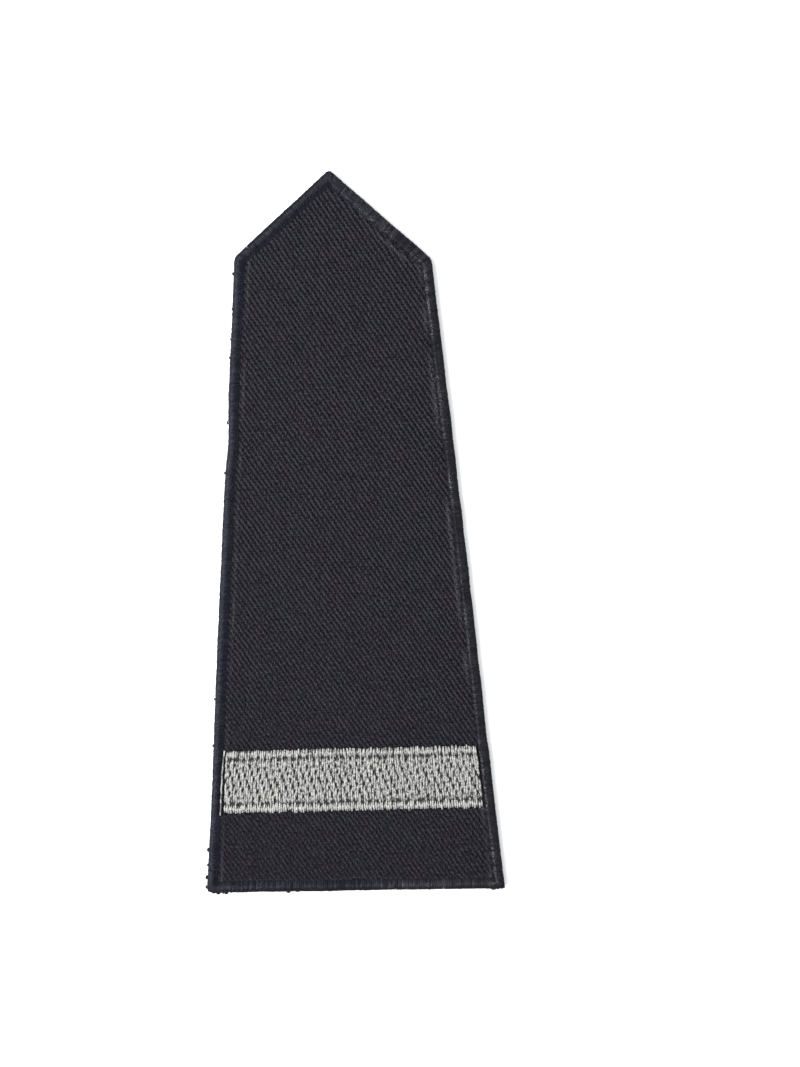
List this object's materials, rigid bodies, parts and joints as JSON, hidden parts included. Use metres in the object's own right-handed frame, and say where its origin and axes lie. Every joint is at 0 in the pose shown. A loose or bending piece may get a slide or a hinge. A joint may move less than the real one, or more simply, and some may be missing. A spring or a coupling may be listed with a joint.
{
  "type": "shoulder board",
  "caption": "Five-sided dark cloth slip with a point at one end, a raised stitched border and a silver embroidered bar across its wide end.",
  "frame": {"origin": "on the back, in the middle of the length and the width", "axes": "+X across the board to the right as worn face up with the point away, +Y along it towards the point, +Z out of its face"},
  "size_m": [0.0574, 0.135, 0.0019],
  "materials": {
    "twill": "charcoal polyester twill with a steep diagonal rib, slight sheen",
    "border_thread": "black embroidery thread, dense satin stitch",
    "silver_thread": "silver metallised embroidery thread, bright"
  },
  "bodies": {
    "root": {"ground_cloth": "twill", "border": "border_thread", "rank_bar": "silver_thread"}
  },
  "joints": []
}
